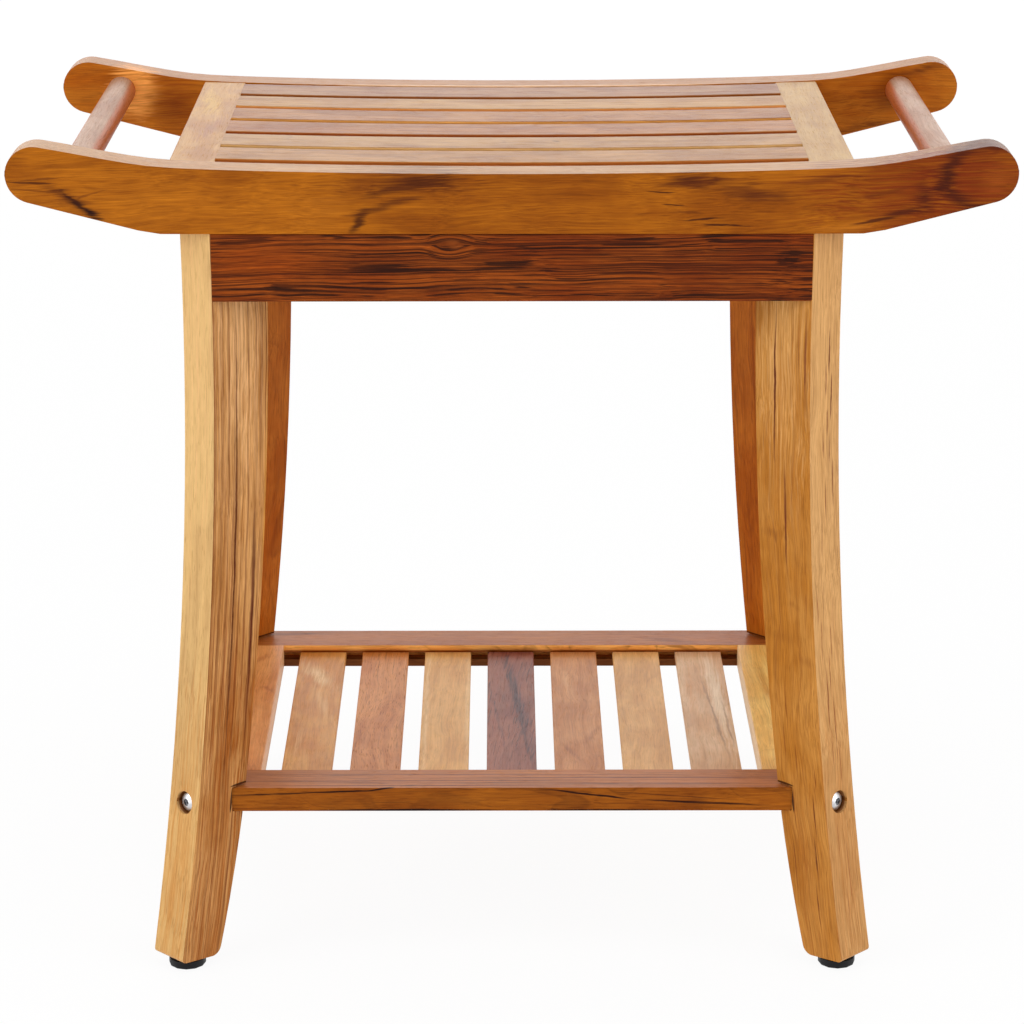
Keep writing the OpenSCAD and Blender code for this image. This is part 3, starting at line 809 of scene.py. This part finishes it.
print("end battens and handle bars")
battens = {
    "left": {
        "tones": [(194, 144, 82), (170, 114, 56), (144, 86, 44)], "cutAt": (60, 30, 50),
        "marks": onTop(492, 20, [
            (-188, 60, 10, 60, 4, 0.8, 0.7, (206, 160, 76)),
            (-182, -30, 6, 60, -6, 1.0, 0.6, (152, 94, 66)),
        ])},
    "right": {
        "tones": [(188, 146, 84), (172, 126, 62), (138, 90, 42)], "cutAt": (60, 30, 80),
        "marks": onTop(492, 20, [
            (184, -10, 3.5, 70, 3, 0.8, 0.4, (156, 108, 52)),
        ])},
}
barCuts = {"left": (700, 24, 12), "right": (900, 22, 14)}      # where in the log each bar lay
for side in ("left", "right"):
    battenPiece(side + "_end_batten", {
        **battens[side], "grain": "y", "rings": 0.1, "veins": 0.1, "threads": 0.05, "streaks": 0.3,
        "fibres": 0.3, "pores": 0.05})
    barPiece(side + "_handle_bar", {
        "cutAt": barCuts[side], "tones": [(180, 142, 116), (162, 116, 88), (104, 54, 34)], "grain": "y",
        "rings": 0.25, "veins": 0.2, "streaks": 0.4, "fibres": 0.4, "pores": 0.1,
        # the sides take a deeper orange: painted shade; the marks darken the ends by the rails: painted shade
        # at the joints, with oil darkening
        "faces": [((-1, 0, 0), 0.9, (172, 86, 36)), ((1, 0, 0), 0.9, (176, 90, 38))],
        "marks": onTop(487, 30, [
            (0, 129, 400, 9, 0, 1.0, 0.9, (156, 76, 26)),
            (0, -129, 400, 8, 0, 1.0, 0.6, (150, 80, 34)),
        ])})

print("seat slats")
seatSlats = [
    # side is the tone of the faces towards the front: painted light on these shaded faces, seen in the gaps
    {"tones": [(164, 116, 76), (136, 82, 48), (88, 42, 22)], "cutAt": (30, 40, 30),
     "side": (140, 74, 28)},
    {"tones": [(184, 136, 76), (160, 108, 52), (116, 66, 30)], "cutAt": (230, 60, 44),
     "side": (224, 142, 74)},
    {"tones": [(172, 116, 62), (144, 86, 34), (92, 42, 18)], "cutAt": (410, 36, 70),
     "side": (220, 152, 74)},
    {"tones": [(170, 110, 54), (140, 78, 28), (92, 40, 16)], "cutAt": (590, 44, 26),
     "side": (150, 72, 26)},
    {"tones": [(180, 134, 80), (156, 106, 56), (110, 64, 30)], "cutAt": (777, 70, 30),
     "side": (218, 168, 104), "marks": onTop(490, 20, [
         (26.6, -58.7, 3.4, 3.8, 0, 0.5, 0.6, (96, 68, 48)),
     ])},
    {"tones": [(180, 128, 70), (152, 100, 48), (106, 58, 26)], "cutAt": (933, 52, 60),
     "side": (182, 100, 40)},
]
# the faces towards the front take painted light
for i, look in enumerate(seatSlats):
    seatSlatPiece("seat_slat_%d" % (i + 1), {
        **look, "grain": "x", "slant": (0, 0, 1.2), "rings": 0.3, "veins": 0.3, "threads": 0.15,
        "streaks": 0.5, "fibres": 0.5, "pores": 0.05, "faces": [(front, 1.0, look["side"])]})

print("aprons")
apronPiece("front_apron", {
    "tones": [(146, 68, 14), (124, 50, 6), (30, 8, 2)], "grain": "x", "cutAt": (0, 150, -40),
    "slant": (0, 0.6, 0), "ringWidth": 2.8, "ringShape": wideRings, "ringFade": (0.22, 0.5), "rings": 0.95,
    "veins": 0.5, "threads": 0.85, "threadKind": "wideThread", "threadCut": (0.54, 0.61), "sway": 8,
    "streaks": 1.0, "fibres": 1.6, "knots": [((-36, -149.5, 447), (20, 60, 12), 0.85)],
    "marks": onFront(-149.5, 60, [
        (-34, 447.5, 7, 5, 0, 0.8, 0.7, (156, 78, 26)),
        (-146, 438, 60, 16, 0, 1.0, 0.5, (164, 72, 8)),
        (-40, 422, 60, 2.4, 0, 0.8, 0.5, (50, 16, 4)),
        (120, 432, 90, 12, 0, 1.0, 0.4, (88, 32, 4)),
        (-130, 421, 60, 1.6, 1, 0.5, 0.9, (30, 8, 2)),
    ])})
apronPiece("back_apron", {
    "tones": [(150, 78, 20), (128, 58, 12), (56, 20, 6)], "grain": "x", "cutAt": (300, -150, -90),
    "ringWidth": 3.4, "rings": 0.8, "veins": 0.6, "threads": 0.5})
for side in ("left", "right"):
    apronPiece(side + "_apron", {
        "tones": [(180, 108, 34), (154, 84, 18), (84, 36, 8)], "grain": "y",
        "cutAt": (100 if side == "left" else 500, 150, 170), "ringWidth": 3.8, "rings": 0.6, "veins": 0.6})

print("legs")
legs = {
    # marks end with softness, strength and tone, and dashes with strength and tone
    # outer is the tone of the outer face: painted light from the lamps at the sides, and their reflection
    "front_left": {
        "tones": [(212, 154, 92), (186, 124, 62), (112, 52, 20)], "cutAt": (0, -110, 70), "ringWidth": 5.2,
        "ringShape": wideRings, "ringFade": (0.25, 0.55), "rings": 0.75, "veins": 0.7, "threads": 0.5,
        "outer": (219, 178, 116), "calm": 0.7, "streaks": 0.7, "fibres": 0.9, "sway": 8, "marks": [
            # on all of the board: inward from its outer face, height, width, reach up and down
            (22, 380, 30, 170, 1.0, 0.85, (236, 184, 126)),
            (22, 262, 30, 70, 1.0, 0.5, (226, 168, 104)),
            (22, 40, 30, 170, 1.0, 1.0, (158, 86, 22)),
            (22, 150, 28, 90, 1.0, 0.85, (148, 70, 2)),
            (17.5, 250, 1.2, 210, 0.3, 1.0, (92, 38, 14)),
            (15.6, 250, 0.9, 150, 0.4, 0.6, (128, 66, 30)),
            (27, 380, 1.1, 70, 0.5, 0.7, (104, 50, 22)),
            (32.5, 225, 2.6, 130, 0.6, 1.0, (90, 34, 16)),
            (36, 330, 1.6, 110, 0.7, 0.6, (140, 76, 30)),
            (9, 270, 0.9, 80, 0.5, 0.6, (140, 78, 42)),
            (12.5, 190, 0.9, 90, 0.5, 0.5, (150, 84, 40)),
            (22, 160, 1.2, 110, 0.6, 0.6, (116, 56, 22)),
            (41, 240, 3.4, 240, 0.8, 0.8, (204, 136, 46)),
            (28, 60, 1.4, 70, 0.6, 0.7, (110, 52, 20)),
            (16, 60, 1.2, 60, 0.6, 0.5, (120, 60, 24)),
            (0, 60, 4, 150, 1.0, 0.7, (204, 144, 74)),
        ]},
    "front_right": {
        "tones": [(198, 136, 62), (180, 114, 38), (112, 54, 20)], "cutAt": (300, 60, 180), "veins": 0.3,
        "outer": (212, 160, 100), "streaks": 0.5, "fibres": 0.8, "pores": 0.15, "dashes": [
            # on the outer face: across it from its middle, height, width, reach up and down
            (-4, 382, 0.7, 16, 0.9, (112, 56, 26)),
            (-1, 366, 0.6, 12, 0.8, (120, 60, 30)),
            (-6, 352, 0.7, 18, 0.9, (108, 52, 24)),
            (-2.5, 338, 0.6, 10, 0.8, (124, 64, 30)),
            (-4.5, 322, 0.6, 14, 0.9, (112, 56, 26)),
            (1, 326, 0.6, 12, 0.6, (130, 70, 34)),
            (-7.5, 300, 0.6, 18, 0.8, (116, 58, 28)),
            (-1, 290, 0.6, 12, 0.7, (124, 64, 30)),
            (3, 270, 0.6, 16, 0.5, (134, 74, 36)),
            (9, 228, 0.6, 12, 0.6, (150, 86, 44)),
            (6.4, 206, 0.6, 18, 0.7, (142, 80, 40)),
            (3.7, 170, 0.6, 22, 0.8, (136, 74, 36)),
            (-2, 204, 0.6, 14, 0.7, (142, 80, 40)),
            (0.6, 184, 0.6, 20, 0.7, (140, 78, 38)),
            (-1.4, 150, 0.6, 24, 0.8, (134, 72, 34)),
            (2.4, 138, 0.6, 16, 0.6, (146, 84, 42)),
            (-3.6, 128, 0.6, 18, 0.6, (146, 84, 42)),
            (4, 84, 0.6, 16, 0.5, (150, 88, 44)),
            (-3, 60, 0.6, 20, 0.6, (146, 82, 42)),
            (1, 40, 0.6, 14, 0.5, (150, 88, 44)),
        ], "marks": [
            (22, 385, 30, 130, 1.0, 0.85, (224, 170, 104)),
            (27, 354, 1.1, 66, 0.2, 1.0, (104, 48, 22)),
            (19.4, 280, 1.1, 48, 0.2, 1.0, (112, 54, 24)),
            (4, 380, 1.4, 50, 0.4, 0.9, (124, 62, 30)),
            (9, 384, 1.0, 30, 0.4, 0.6, (130, 68, 30)),
            (30, 268, 12, 5, 1.0, 0.7, (132, 74, 22)),
            (22, 205, 18, 7, 1.0, 0.5, (140, 80, 26)),
            (26, 150, 16, 30, 1.0, 0.4, (196, 130, 52)),
            (22, 60, 8, 100, 1.0, 0.4, (140, 76, 22)),
            (22, 50, 30, 110, 1.0, 0.5, (162, 92, 22)),
            (0, 80, 3, 150, 1.0, 0.6, (176, 112, 50)),
            (8, 193, 9, 5, 1.0, 0.6, (134, 70, 20)),
            (16, 226, 8, 3, 1.0, 0.5, (136, 76, 24)),
            (5, 230, 4, 9, 1.0, 0.5, (134, 74, 24)),
            (25.5, 162, 0.8, 20, 0.3, 0.8, (128, 62, 18)),
            (28.6, 138, 0.8, 14, 0.3, 0.7, (132, 66, 20)),
            (20.5, 129, 0.8, 16, 0.3, 0.7, (124, 62, 20)),
            (25, 100, 0.8, 22, 0.3, 0.8, (120, 58, 18)),
            (28.6, 62, 0.8, 28, 0.3, 0.8, (122, 60, 18)),
            (6.5, 120, 0.8, 12, 0.3, 0.7, (124, 62, 20)),
            (9.4, 98, 0.8, 18, 0.3, 0.9, (112, 54, 18)),
            (11.2, 72, 0.9, 20, 0.3, 1.0, (102, 46, 16)),
            (13.4, 40, 0.8, 20, 0.3, 0.9, (112, 54, 20)),
        ]},
    "back_left": {
        "tones": [(196, 114, 38), (176, 90, 20), (100, 40, 10)], "cutAt": (520, 90, 140), "veins": 0.4,
        "outer": (196, 120, 50), "streaks": 0.7},
    "back_right": {
        "tones": [(196, 112, 32), (172, 88, 16), (104, 42, 10)], "cutAt": (760, 70, 200), "veins": 0.5,
        "outer": (196, 120, 50), "streaks": 0.8, "marks": [
            (20, 160, 24, 70, 1.0, 0.6, (126, 60, 10)),
        ]},
}
blockTeak = teak("cornerBlockTeak", {
    "tones": [(196, 140, 84), (170, 108, 56), (110, 60, 26)], "grain": "z", "cutAt": (0, 160, 160)})
dowelTeak = teak("dowelTeak", {
    "tones": [(206, 160, 104), (186, 134, 80), (120, 76, 40)], "grain": "y", "cutAt": (60, 40, 90)})
for corner, (sideX, sideY) in corners.items():
    look = dict(legs[corner])
    outward = Vector((sideX, sideY, 0)).normalized()
    sideways = Vector((-sideX, sideY, 0)).normalized()
    top = Vector((sideX * leg["top"][0], sideY * leg["top"][1], 0))
    turn = (0, 0, math.degrees(math.atan2(outward.y, outward.x)))

    def inLeg(inward, across, height):
        return top - outward * inward + sideways * across + Vector((0, 0, height))

    look["bow"] = outward
    # painted light and reflection on the outer face
    look["faces"] = [(outward, 1.0, look["outer"])]
    look["marks"] = [
        (inLeg(inward, 0, height), (width, leg["markDepth"], reach), turn, *rest)
        for inward, height, width, reach, *rest in look.get("marks", [])]
    look["marks"] += [
        (inLeg(0, across, height), (leg["dashDepth"], width, reach), turn, leg["dashSoftness"], *rest)
        for across, height, width, reach, *rest in look.get("dashes", [])]
    look["shadows"] = [
        (inLeg(inward, 0, height), reach, turn, shade) for inward, height, reach, shade in leg["shadows"]]
    legPiece(corner, {"ringWidth": 6, "rings": 0.3, **look, "grain": "z", "rag": 10})
    dress("corner_block_" + corner, blockTeak)
for node in ("leg_bolts", "leg_washers", "leg_nuts", "seat_screws"):
    dress(node, steel)
dress("shelf_screws", screwSteel)
dress("batten_dowels", dowelTeak)
dress("foot_inserts", brass)

print("shelf")
shelfRailPiece("shelf_front_rail", {
    "tones": [(156, 85, 14), (134, 67, 6), (50, 18, 4)], "grain": "x", "cutAt": (50, 300, -102),
    "slant": (0, 0.6, 1.2), "ringWidth": 3.0, "rings": 0.35, "veins": 0.2, "threads": 0.4,
    # the top takes a paler tone: painted sheen
    "streaks": 0.6, "sway": 8, "rag": 5, "faces": [(up, 0.9, (180, 108, 52))],
    "marks": onFront(-145, 3, [
        (-148, 105.8, 36, 0.8, -1.6, 0.2, 1.0, (40, 12, 4)),
        (-106, 107.4, 32, 0.8, -1.8, 0.2, 1.0, (36, 10, 4)),
        (-78, 109.2, 14, 0.7, -8, 0.3, 1.0, (36, 10, 4)),
        (48, 105.6, 34, 0.8, 7, 0.2, 1.0, (40, 12, 4)),
        (118, 100.2, 48, 0.9, 2.8, 0.2, 1.0, (44, 14, 4)),
        (100, 104.5, 44, 0.5, 4, 0.3, 0.8, (70, 28, 6)),
        (-60, 95.6, 90, 0.9, 0, 0.4, 1.0, (36, 12, 4)),
        (60, 95.6, 60, 0.8, 0, 0.5, 0.9, (44, 16, 4)),
    ]) + onTop(110, 4, [
        (-40, -140.5, 160, 0.8, 0.3, 0.4, 1.0, (84, 36, 24)),
        (30, -137, 180, 0.8, -0.3, 0.4, 1.0, (88, 40, 26)),
        (-60, -133, 160, 0.9, 0.4, 0.4, 0.9, (94, 44, 30)),
        (60, -128, 170, 0.9, 0.2, 0.4, 0.9, (98, 48, 32)),
        (-20, -123, 180, 0.9, -0.2, 0.4, 0.8, (104, 54, 36)),
    ]) + onFront(-145, 30, [
        (-20, 103, 60, 5, 0, 1.0, 0.25, (176, 104, 26)),
        (-180, 102, 60, 12, 0, 1.0, 0.7, (180, 102, 22)),
        (180, 102, 70, 12, 0, 1.0, 0.7, (180, 102, 22)),
    ])})
shelfRailPiece("shelf_back_rail", {
    "tones": [(184, 112, 46), (162, 88, 26), (90, 38, 10)], "grain": "x", "cutAt": (250, 60, -102),
    "slant": (0, 1, 1), "rings": 0.4, "veins": 0.4, "streaks": 0.6,
    # a tone of its own on the top and a brighter front of the lip: painted light
    "faces": [(up, 0.6, (164, 94, 42)), (front, 1.2, (255, 184, 96))],
    "marks": [
        # the first mark: painted shade under the slats along the front face
        ((0, 113, 97), (900, 8, 7), (0, 0, 0), 0.1, 0.95, (104, 54, 20)),
        ((108, 124, 110), (28, 6, 20), (0, 0, -14), 1.0, 0.6, (104, 44, 14)),
        ((-150, 138, 110), (46, 4, 20), (0, 0, 4), 1.0, 0.7, (96, 42, 14)),
    ]})
shelfBattens = {
    "left": {
        "tones": [(222, 150, 84), (204, 126, 60), (140, 66, 26)], "cutAt": (30, 130, 190),
        # the inner side takes a paler tone: painted light
        "faces": [((1, 0, 0), 0.8, (240, 190, 140))], "marks": onTop(108, 20, [
            (-160, 30, 4, 12, 40, 0.8, 0.6, (160, 80, 34)),
            (-166, 90, 5, 14, -30, 0.8, 0.5, (166, 84, 36)),
            (-172, -40, 4, 40, 8, 1.0, 0.5, (232, 176, 120)),
        ])},
    "right": {
        "tones": [(242, 198, 114), (230, 174, 88), (160, 102, 44)], "cutAt": (330, 130, 290),
        # the inner side takes a paler tone: painted light
        "faces": [((-1, 0, 0), 0.8, (240, 206, 160))], "marks": onTop(108, 20, [
            (168, 20, 3, 60, 6, 1.0, 0.5, (184, 112, 44)),
        ])},
}
for side, look in shelfBattens.items():
    shelfBoardPiece("shelf_" + side + "_batten", {
        **look, "grain": "y", "rings": 0.2, "veins": 0.2, "streaks": 0.4, "pores": 0.1},
        shelf["battenEdge"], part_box("shelf_back_rail")[0].y)
shelfSlats = [
    {"tones": [(218, 156, 84), (196, 126, 56), (146, 82, 34)], "cutAt": (0, 125, 150),
     "marks": onTop(107, 20, [
        (-128, 70, 9, 34, 20, 1.0, 0.8, (234, 196, 142)),
        (-122, 10, 5, 44, 10, 1.0, 0.6, (230, 184, 126)),
        (-134, -50, 4, 40, -6, 1.0, 0.5, (228, 178, 118)),
    ])},
    {"tones": [(212, 140, 76), (188, 112, 50), (124, 62, 30)], "cutAt": (91, 146, 135), "pores": 0.3,
     "threads": 0.4},
    {"tones": [(230, 176, 106), (214, 156, 88), (164, 106, 54)], "cutAt": (182, 167, 135),
     "marks": onTop(107, 20, [
        (-55, 0, 2.6, 140, 0, 0.7, 0.6, (238, 198, 142)),
        (-28, 0, 2.6, 140, 0, 0.7, 0.6, (238, 198, 142)),
    ])},
    {"tones": [(158, 96, 74), (130, 70, 54), (48, 20, 22)], "cutAt": (273, 88, 135), "veins": 0.7,
     "threads": 0.6, "streaks": 0.9, "slant": (0, 0, 4), "marks": onTop(107, 20, [
         (8, -10, 6, 150, 5, 1.0, 0.6, (96, 54, 58)),
         (3, 30, 4.4, 120, 5, 0.8, 0.9, (66, 32, 36)),
         (9, -50, 2.0, 70, 5, 0.8, 0.7, (72, 34, 36)),
         (-8, -20, 1.6, 80, 5, 0.8, 0.5, (88, 44, 40)),
     ])},
    {"tones": [(210, 146, 90), (186, 118, 62), (132, 70, 36)], "cutAt": (364, 109, 135),
     "marks": onTop(107, 20, [
        (37, -70, 3.2, 34, 22, 1.0, 0.6, (150, 86, 46)),
        (52, -40, 3.0, 30, -20, 1.0, 0.5, (154, 90, 50)),
        (36, 60, 5, 40, 6, 1.0, 0.5, (228, 174, 122)),
    ])},
    {"tones": [(230, 178, 112), (210, 154, 90), (158, 98, 52)], "cutAt": (455, 130, 135)},
    {"tones": [(222, 182, 140), (204, 154, 106), (150, 100, 62)], "cutAt": (546, 151, 135),
     "marks": onTop(107, 20, [
        (135, 20, 6.5, 150, 2, 0.8, 0.8, (238, 212, 178)),
        (131, -10, 1.3, 100, 4, 0.5, 0.7, (146, 106, 74)),
        (118, 30, 4, 120, 0, 1.0, 0.5, (206, 140, 76)),
        (138.5, -20, 1.0, 60, 2, 0.5, 0.6, (150, 100, 64)),
    ])},
]
for i, look in enumerate(shelfSlats):
    shelfBoardPiece("shelf_slat_%d" % (i + 1), {
        "slant": (0, 0, 1), "veins": 0.25, "streaks": 0.45, "fibres": 0.35, "pores": 0.08, **look,
        "grain": "y", "rings": 0.25}, shelf["slatEdge"])

print("feet")
for corner in corners:
    padPiece(corner)
    studPiece(corner)

print("studio")
studio = {
    "ambient": 0.42,
    "lamps": [
        # name, place, size, watts
        ("leftLamp", (-2.6, -1.5, 1.3), 2.0, 48),
        ("rightLamp", (2.6, -1.5, 1.3), 2.0, 38),
        ("topLamp", (0, -0.3, 3.0), 2.4, 24),
        ("backLamp", (0, 3.2, 1.5), 3.0, 45),
    ],
    "aim": (0, 0, 0.3),
    "floorSize": 40,
    "floorDrop": 0.3,       # under the feet, mm
    "floorGrey": 0.96,
    "floorShare": 0.93,     # how much of the floor's white is the picture's own white
}

floorBm = bmesh.new()
bmesh.ops.create_grid(floorBm, x_segments=1, y_segments=1, size=studio["floorSize"] / 2)
bmesh.ops.translate(floorBm, vec=(0, 0, -studio["floorDrop"] * mm), verts=floorBm.verts)
floorMesh = bpy.data.meshes.new("floor")
floorBm.to_mesh(floorMesh)
floorBm.free()
shown("floor", floorMesh)


def pictureShare(tree):
    # 1 for what the camera sees, straight or in a reflection, and 0 for the light that falls on the bench
    direct = Wire(tree.nodes.new("ShaderNodeLightPath").outputs["Is Camera Ray"])
    shiny = Wire(direct.socket.node.outputs["Is Glossy Ray"])
    clear = Wire(direct.socket.node.outputs["Is Transmission Ray"])
    return direct.sum("MINIMUM", direct + shiny + clear, 1.0)


floorMaterial = bpy.data.materials.new("floorWhite")
floorMaterial.use_nodes = True
tree = floorMaterial.node_tree
tree.nodes.clear()
seen = pictureShare(tree)
paint = seen.node("ShaderNodeBsdfDiffuse", None, {"Color": (studio["floorGrey"],) * 3 + (1,)})
glow = seen.node("ShaderNodeEmission", None, {"Color": (1, 1, 1, 1), "Strength": 1.0})
mixed = seen.node("ShaderNodeMixShader", None, {0: seen * studio["floorShare"], 1: paint, 2: glow})
plug(mixed, tree.nodes.new("ShaderNodeOutputMaterial").inputs["Surface"])
floorMesh.materials.append(floorMaterial)

world = bpy.data.worlds.new("studioWorld")
bpy.context.scene.world = world
world.use_nodes = True
tree = world.node_tree
tree.nodes.clear()
seen = pictureShare(tree)
sky = seen.node("ShaderNodeBackground", None, {
    "Color": (1, 1, 1, 1), "Strength": seen * (1 - studio["ambient"]) + studio["ambient"]})
plug(sky, tree.nodes.new("ShaderNodeOutputWorld").inputs["Surface"])

for name, place, size, watts in studio["lamps"]:
    lamp = bpy.data.lights.new(name, "AREA")
    lamp.size = size
    lamp.energy = watts
    lampObject = shown(name, lamp)
    lampObject.location = place
    lampObject.rotation_euler = (Vector(studio["aim"]) - Vector(place)).to_track_quat("-Z", "Y").to_euler()
    lampObject.visible_camera = False

view = {"place": (-0.0070, -2.0914, 0.8897), "turn": (72.744, 0, -0.206), "lens": 121.29, "sensor": 36}
camera = shown("camera", bpy.data.cameras.new("camera"))
camera.data.lens = view["lens"]
camera.data.sensor_width = view["sensor"]
camera.location = view["place"]
camera.rotation_euler = [math.radians(a) for a in view["turn"]]
bpy.context.scene.camera = camera
bpy.context.scene.view_settings.view_transform = "Standard"

print("finish")
